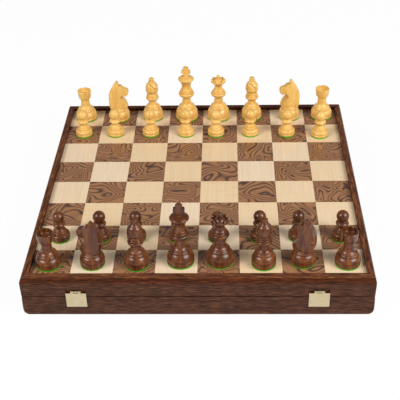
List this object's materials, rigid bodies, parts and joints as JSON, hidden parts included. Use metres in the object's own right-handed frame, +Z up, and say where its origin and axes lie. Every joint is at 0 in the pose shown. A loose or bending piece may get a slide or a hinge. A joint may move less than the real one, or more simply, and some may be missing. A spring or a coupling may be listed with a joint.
{
  "type": "chess box",
  "caption": "Square wooden chess box with a hinged board lid over a divided, lined tray, brass flap latches and a full set of turned chessmen.",
  "frame": {"origin": "centre of the box's underside, on the table", "axes": "+X to the right, +Y to the back where the hinges are, +Z up"},
  "size_m": [0.4, 0.4069, 0.1291],
  "materials": {
    "frame_wood": "satin dark rosewood",
    "panel_wood": "plain plywood",
    "maple_squares": "satin maple",
    "burl_squares": "satin figured burl",
    "boxwood": "lacquered boxwood",
    "sheesham": "gloss lacquered sheesham",
    "brass": "satin",
    "lining_felt": "green baize"
  },
  "bodies": {
    "tray": {"tray_rail_front": "frame_wood", "tray_rail_back": "frame_wood", "tray_rail_left": "frame_wood", "tray_rail_right": "frame_wood", "tray_floor": "panel_wood", "tray_lining": "lining_felt", "long_divider": "frame_wood", "cross_dividers": "frame_wood", "hinge_leaf_tray_left": "brass", "hinge_leaf_tray_right": "brass", "hinge_pins": "brass", "latch_strikes": "brass", "tray_screws": "brass"},
    "lid": {"lid_rail_front": "frame_wood", "lid_rail_back": "frame_wood", "lid_rail_left": "frame_wood", "lid_rail_right": "frame_wood", "board_panel": "panel_wood", "light_squares": "maple_squares", "dark_squares": "burl_squares", "lid_lining": "lining_felt", "hinge_leaf_lid_left": "brass", "hinge_leaf_lid_right": "brass", "latch_leaves": "brass", "latch_pins": "brass", "lid_screws": "brass"},
    "latch_flap_left": {"latch_flap_left": "brass"},
    "latch_flap_right": {"latch_flap_right": "brass"},
    "light_rook_left": {"light_rook_left": "boxwood"},
    "light_knight_left": {"light_knight_left": "boxwood"},
    "light_bishop_left": {"light_bishop_left": "boxwood"},
    "light_king": {"light_king": "boxwood"},
    "light_queen": {"light_queen": "boxwood"},
    "light_bishop_right": {"light_bishop_right": "boxwood"},
    "light_knight_right": {"light_knight_right": "boxwood"},
    "light_rook_right": {"light_rook_right": "boxwood"},
    "light_pawn_1": {"light_pawn_1": "boxwood"},
    "light_pawn_2": {"light_pawn_2": "boxwood"},
    "light_pawn_3": {"light_pawn_3": "boxwood"},
    "light_pawn_4": {"light_pawn_4": "boxwood"},
    "light_pawn_5": {"light_pawn_5": "boxwood"},
    "light_pawn_6": {"light_pawn_6": "boxwood"},
    "light_pawn_7": {"light_pawn_7": "boxwood"},
    "light_pawn_8": {"light_pawn_8": "boxwood"},
    "dark_rook_left": {"dark_rook_left": "sheesham"},
    "dark_knight_left": {"dark_knight_left": "sheesham"},
    "dark_bishop_left": {"dark_bishop_left": "sheesham"},
    "dark_king": {"dark_king": "sheesham"},
    "dark_queen": {"dark_queen": "sheesham"},
    "dark_bishop_right": {"dark_bishop_right": "sheesham"},
    "dark_knight_right": {"dark_knight_right": "sheesham"},
    "dark_rook_right": {"dark_rook_right": "sheesham"},
    "dark_pawn_1": {"dark_pawn_1": "sheesham"},
    "dark_pawn_2": {"dark_pawn_2": "sheesham"},
    "dark_pawn_3": {"dark_pawn_3": "sheesham"},
    "dark_pawn_4": {"dark_pawn_4": "sheesham"},
    "dark_pawn_5": {"dark_pawn_5": "sheesham"},
    "dark_pawn_6": {"dark_pawn_6": "sheesham"},
    "dark_pawn_7": {"dark_pawn_7": "sheesham"},
    "dark_pawn_8": {"dark_pawn_8": "sheesham"}
  },
  "joints": [
    {"name": "lid_hinge", "type": "hinge", "parent": "tray", "child": "lid", "pos_m": [0, 0.203, 0.0275], "axis": [-1, 0, 0], "range_deg": [0, 95]},
    {"name": "latch_left", "type": "hinge", "parent": "lid", "child": "latch_flap_left", "pos_m": [-0.137, -0.20005, 0.0342], "axis": [-1, 0, 0], "range_deg": [0, 120]},
    {"name": "latch_right", "type": "hinge", "parent": "lid", "child": "latch_flap_right", "pos_m": [0.137, -0.20005, 0.0342], "axis": [-1, 0, 0], "range_deg": [0, 120]},
    {"name": "light_rook_left_lift", "type": "slide", "parent": "lid", "child": "light_rook_left", "axis": [0, 0, 1], "range_m": [0, 0.1]},
    {"name": "light_knight_left_lift", "type": "slide", "parent": "lid", "child": "light_knight_left", "axis": [0, 0, 1], "range_m": [0, 0.1]},
    {"name": "light_bishop_left_lift", "type": "slide", "parent": "lid", "child": "light_bishop_left", "axis": [0, 0, 1], "range_m": [0, 0.1]},
    {"name": "light_king_lift", "type": "slide", "parent": "lid", "child": "light_king", "axis": [0, 0, 1], "range_m": [0, 0.1]},
    {"name": "light_queen_lift", "type": "slide", "parent": "lid", "child": "light_queen", "axis": [0, 0, 1], "range_m": [0, 0.1]},
    {"name": "light_bishop_right_lift", "type": "slide", "parent": "lid", "child": "light_bishop_right", "axis": [0, 0, 1], "range_m": [0, 0.1]},
    {"name": "light_knight_right_lift", "type": "slide", "parent": "lid", "child": "light_knight_right", "axis": [0, 0, 1], "range_m": [0, 0.1]},
    {"name": "light_rook_right_lift", "type": "slide", "parent": "lid", "child": "light_rook_right", "axis": [0, 0, 1], "range_m": [0, 0.1]},
    {"name": "light_pawn_1_lift", "type": "slide", "parent": "lid", "child": "light_pawn_1", "axis": [0, 0, 1], "range_m": [0, 0.1]},
    {"name": "light_pawn_2_lift", "type": "slide", "parent": "lid", "child": "light_pawn_2", "axis": [0, 0, 1], "range_m": [0, 0.1]},
    {"name": "light_pawn_3_lift", "type": "slide", "parent": "lid", "child": "light_pawn_3", "axis": [0, 0, 1], "range_m": [0, 0.1]},
    {"name": "light_pawn_4_lift", "type": "slide", "parent": "lid", "child": "light_pawn_4", "axis": [0, 0, 1], "range_m": [0, 0.1]},
    {"name": "light_pawn_5_lift", "type": "slide", "parent": "lid", "child": "light_pawn_5", "axis": [0, 0, 1], "range_m": [0, 0.1]},
    {"name": "light_pawn_6_lift", "type": "slide", "parent": "lid", "child": "light_pawn_6", "axis": [0, 0, 1], "range_m": [0, 0.1]},
    {"name": "light_pawn_7_lift", "type": "slide", "parent": "lid", "child": "light_pawn_7", "axis": [0, 0, 1], "range_m": [0, 0.1]},
    {"name": "light_pawn_8_lift", "type": "slide", "parent": "lid", "child": "light_pawn_8", "axis": [0, 0, 1], "range_m": [0, 0.1]},
    {"name": "dark_rook_left_lift", "type": "slide", "parent": "lid", "child": "dark_rook_left", "axis": [0, 0, 1], "range_m": [0, 0.1]},
    {"name": "dark_knight_left_lift", "type": "slide", "parent": "lid", "child": "dark_knight_left", "axis": [0, 0, 1], "range_m": [0, 0.1]},
    {"name": "dark_bishop_left_lift", "type": "slide", "parent": "lid", "child": "dark_bishop_left", "axis": [0, 0, 1], "range_m": [0, 0.1]},
    {"name": "dark_king_lift", "type": "slide", "parent": "lid", "child": "dark_king", "axis": [0, 0, 1], "range_m": [0, 0.1]},
    {"name": "dark_queen_lift", "type": "slide", "parent": "lid", "child": "dark_queen", "axis": [0, 0, 1], "range_m": [0, 0.1]},
    {"name": "dark_bishop_right_lift", "type": "slide", "parent": "lid", "child": "dark_bishop_right", "axis": [0, 0, 1], "range_m": [0, 0.1]},
    {"name": "dark_knight_right_lift", "type": "slide", "parent": "lid", "child": "dark_knight_right", "axis": [0, 0, 1], "range_m": [0, 0.1]},
    {"name": "dark_rook_right_lift", "type": "slide", "parent": "lid", "child": "dark_rook_right", "axis": [0, 0, 1], "range_m": [0, 0.1]},
    {"name": "dark_pawn_1_lift", "type": "slide", "parent": "lid", "child": "dark_pawn_1", "axis": [0, 0, 1], "range_m": [0, 0.1]},
    {"name": "dark_pawn_2_lift", "type": "slide", "parent": "lid", "child": "dark_pawn_2", "axis": [0, 0, 1], "range_m": [0, 0.1]},
    {"name": "dark_pawn_3_lift", "type": "slide", "parent": "lid", "child": "dark_pawn_3", "axis": [0, 0, 1], "range_m": [0, 0.1]},
    {"name": "dark_pawn_4_lift", "type": "slide", "parent": "lid", "child": "dark_pawn_4", "axis": [0, 0, 1], "range_m": [0, 0.1]},
    {"name": "dark_pawn_5_lift", "type": "slide", "parent": "lid", "child": "dark_pawn_5", "axis": [0, 0, 1], "range_m": [0, 0.1]},
    {"name": "dark_pawn_6_lift", "type": "slide", "parent": "lid", "child": "dark_pawn_6", "axis": [0, 0, 1], "range_m": [0, 0.1]},
    {"name": "dark_pawn_7_lift", "type": "slide", "parent": "lid", "child": "dark_pawn_7", "axis": [0, 0, 1], "range_m": [0, 0.1]},
    {"name": "dark_pawn_8_lift", "type": "slide", "parent": "lid", "child": "dark_pawn_8", "axis": [0, 0, 1], "range_m": [0, 0.1]}
  ]
}
